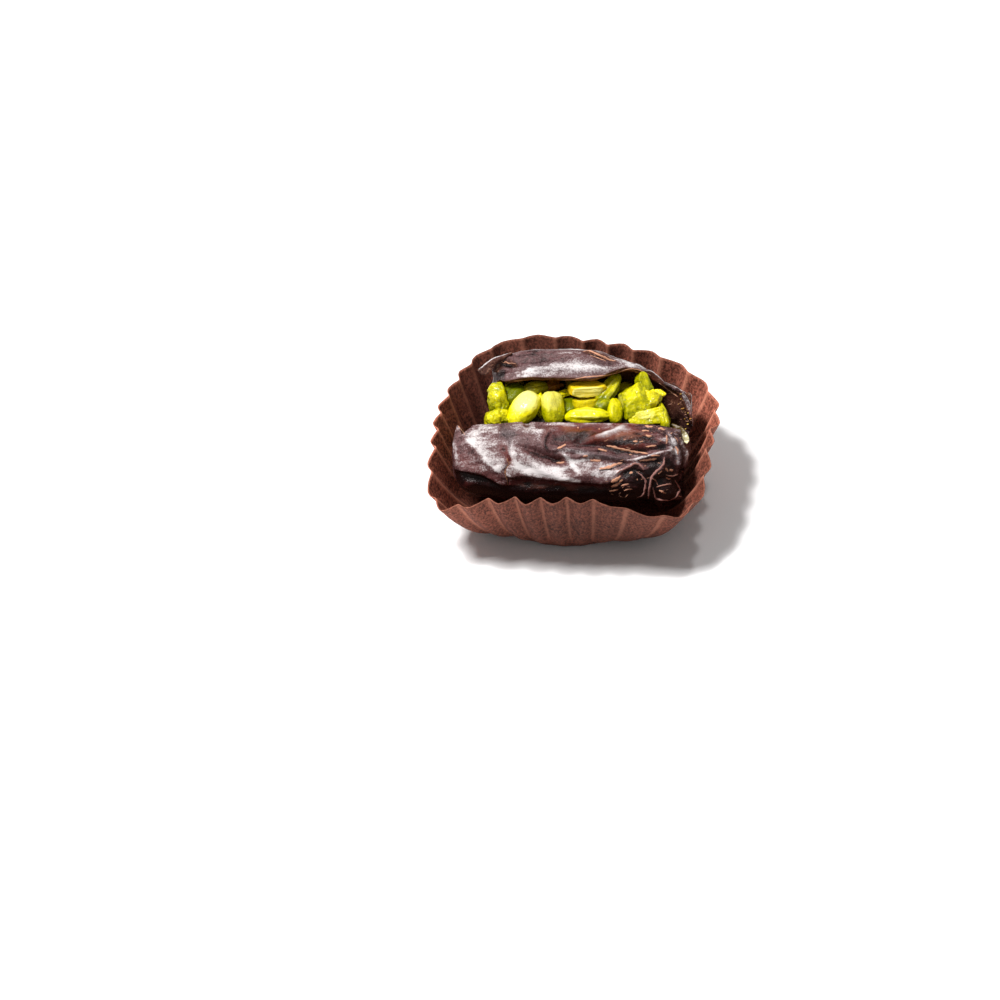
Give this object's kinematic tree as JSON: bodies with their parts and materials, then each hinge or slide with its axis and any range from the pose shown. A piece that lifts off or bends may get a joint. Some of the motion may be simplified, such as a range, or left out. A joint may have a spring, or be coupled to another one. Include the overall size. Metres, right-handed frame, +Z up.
{
  "type": "stuffed date",
  "caption": "Dark date, slit and opened along its top and packed with pistachio kernels, lying in a round pleated brown paper case.",
  "frame": {"origin": "middle of the paper case's flat base, on its underside, where it rests", "axes": "+X along the date, +Y across it towards its higher back flap, +Z up"},
  "size_m": [0.059, 0.0541, 0.028],
  "materials": {
    "brown_paper": "matte greaseproof paper, dark brown all through, paler along its cut edge",
    "date_skin": "near-black wrinkled fruit skin with a satin gloss and a pale sugar bloom on its raised parts",
    "pistachio": "bright yellow-green nut kernels with a wet syrup glaze"
  },
  "bodies": {
    "root": {"paper_case": "brown_paper", "date": "date_skin", "filling": "pistachio"}
  },
  "joints": []
}
